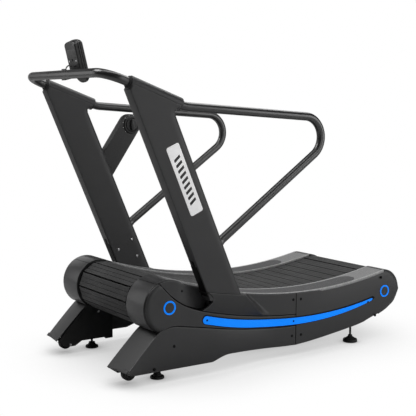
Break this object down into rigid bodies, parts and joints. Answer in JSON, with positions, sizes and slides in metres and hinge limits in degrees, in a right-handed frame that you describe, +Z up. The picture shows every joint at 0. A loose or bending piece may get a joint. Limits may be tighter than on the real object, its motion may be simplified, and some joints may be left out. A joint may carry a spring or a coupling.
{
  "type": "curved manual treadmill",
  "caption": "Motorless running machine with a curved slat belt, side covers, leaning uprights, looped handrails, a front crossbar console and a magnetic brake selector.",
  "frame": {"origin": "middle of the bounding box at floor level", "axes": "+Z up, -Y towards the console end that the runner faces, +X to the runner's left"},
  "size_m": [0.948, 1.868, 1.5956],
  "materials": {
    "frame_steel": "satin black powder coat",
    "cover_plastic": "textured dark charcoal moulding",
    "collar_plastic": "satin charcoal moulding",
    "accent": "bright blue insert",
    "step_rail": "grey moulded foot rail",
    "grip_rubber": "speckled non-slip surface",
    "upright_paint": "dark grey powder coat",
    "tube_paint": "satin black",
    "soft_black": "black rubber",
    "plate_white": "light plate",
    "tread_rubber": "ribbed dark rubber",
    "bright_steel": "bright steel",
    "pulley_cast": "cast",
    "console_black": "satin black",
    "button_grey": "grey keys",
    "lens": "dark display window"
  },
  "bodies": {
    "frame": {"accent_rings": "accent", "accent_stripes": "accent", "brake_bracket": "frame_steel", "cap_panel_left": "cover_plastic", "cap_panel_right": "cover_plastic", "console_bezel": "console_black", "console_bracket": "tube_paint", "console_housing": "console_black", "console_screws": "bright_steel", "cover_screws": "bright_steel", "cross_members": "frame_steel", "crossbar": "tube_paint", "display_lens": "lens", "drum_collars": "collar_plastic", "grip_pads": "grip_rubber", "guide_bearings": "bright_steel", "handrail_left": "tube_paint", "handrail_right": "tube_paint", "leg_plates": "frame_steel", "lower_cover_left": "cover_plastic", "lower_cover_right": "cover_plastic", "rear_cover_left": "cover_plastic", "rear_cover_right": "cover_plastic", "selector_arm": "upright_paint", "selector_ring": "console_black", "sensor_lead": "soft_black", "shaft_bearings": "pulley_cast", "shoulder_covers": "cover_plastic", "side_beams": "frame_steel", "side_plates": "plate_white", "sleeve_rings": "soft_black", "step_rail_left": "step_rail", "step_rail_right": "step_rail", "upper_cover_left": "cover_plastic", "upper_cover_right": "cover_plastic", "upright_left": "upright_paint", "upright_right": "upright_paint", "wheel_axles": "bright_steel"},
    "deck_run": {"tread_top": "tread_rubber"},
    "front_drum": {"tread_front": "tread_rubber", "front_shaft": "bright_steel", "front_pulleys": "pulley_cast", "brake_disc": "bright_steel"},
    "rear_drum": {"tread_rear": "tread_rubber", "rear_shaft": "bright_steel", "rear_pulleys": "pulley_cast"},
    "return_run": {"tread_return": "tread_rubber"},
    "wheel_left": {"transport_wheel_left": "soft_black"},
    "wheel_right": {"transport_wheel_right": "soft_black"},
    "foot_front_left": {"foot_front_left": "soft_black"},
    "foot_front_right": {"foot_front_right": "soft_black"},
    "foot_rear_left": {"foot_rear_left": "soft_black"},
    "foot_rear_right": {"foot_rear_right": "soft_black"},
    "button_reset": {"button_reset": "button_grey"},
    "button_mode": {"button_mode": "button_grey"},
    "button_set": {"button_set": "button_grey"},
    "selector": {"selector_dial": "console_black"},
    "magnet": {"magnet_yoke": "frame_steel"},
    "door": {"battery_door": "console_black"}
  },
  "joints": [
    {"name": "deck_travel", "type": "hinge", "parent": "frame", "child": "deck_run", "pos_m": [0, 0.28963, 2.85437], "axis": [1, 0, 0], "range_deg": [-0.85, 0.85]},
    {"name": "front_drum_spin", "type": "hinge", "parent": "frame", "child": "front_drum", "pos_m": [0, -0.601, 0.356], "axis": [1, 0, 0], "range_deg": [-17.87, 17.87]},
    {"name": "rear_drum_spin", "type": "hinge", "parent": "frame", "child": "rear_drum", "pos_m": [0, 0.816, 0.267], "axis": [1, 0, 0], "range_deg": [-19.85, 19.85]},
    {"name": "return_travel", "type": "hinge", "parent": "frame", "child": "return_run", "pos_m": [0, 0.25012, 2.95125], "axis": [1, 0, 0], "range_deg": [-0.77, 0.77]},
    {"name": "wheel_left_spin", "type": "hinge", "parent": "frame", "child": "wheel_left", "pos_m": [0.34, -0.766, 0.05], "axis": [1, 0, 0], "continuous": true},
    {"name": "wheel_right_spin", "type": "hinge", "parent": "frame", "child": "wheel_right", "pos_m": [-0.34, -0.766, 0.05], "axis": [1, 0, 0], "continuous": true},
    {"name": "foot_front_left_turn", "type": "hinge", "parent": "frame", "child": "foot_front_left", "pos_m": [0.34, -0.61, 0], "axis": [0, 0, 1], "continuous": true},
    {"name": "foot_front_right_turn", "type": "hinge", "parent": "frame", "child": "foot_front_right", "pos_m": [-0.34, -0.61, 0], "axis": [0, 0, 1], "continuous": true},
    {"name": "foot_rear_left_turn", "type": "hinge", "parent": "frame", "child": "foot_rear_left", "pos_m": [0.34, 0.616, 0], "axis": [0, 0, 1], "continuous": true},
    {"name": "foot_rear_right_turn", "type": "hinge", "parent": "frame", "child": "foot_rear_right", "pos_m": [-0.34, 0.616, 0], "axis": [0, 0, 1], "continuous": true},
    {"name": "button_reset_press", "type": "slide", "parent": "frame", "child": "button_reset", "axis": [0, -0.972, -0.2351], "range_m": [0, 0.0015], "stiffness_N_per_m": 400},
    {"name": "button_mode_press", "type": "slide", "parent": "frame", "child": "button_mode", "axis": [0, -0.972, -0.2351], "range_m": [0, 0.0015], "stiffness_N_per_m": 400},
    {"name": "button_set_press", "type": "slide", "parent": "frame", "child": "button_set", "axis": [0, -0.972, -0.2351], "range_m": [0, 0.0015], "stiffness_N_per_m": 400},
    {"name": "selector_turn", "type": "hinge", "parent": "frame", "child": "selector", "pos_m": [-0.41, -0.318, 1.178], "axis": [1, 0, 0], "range_deg": [0, 270]},
    {"name": "magnet_slide", "type": "slide", "parent": "frame", "child": "magnet", "axis": [0, -1, 0], "range_m": [0, 0.0201]},
    {"name": "door_slide", "type": "slide", "parent": "frame", "child": "door", "axis": [0, -0.972, -0.2351], "range_m": [0, 0.03]}
  ],
  "couplings": [
    {"joint": "front_drum_spin", "follows": "deck_travel", "ratio": -21.103},
    {"joint": "rear_drum_spin", "follows": "deck_travel", "ratio": -23.448},
    {"joint": "return_travel", "follows": "deck_travel", "ratio": -0.88816},
    {"joint": "magnet_slide", "follows": "selector_turn", "m_per_rad": 0.004244}
  ]
}
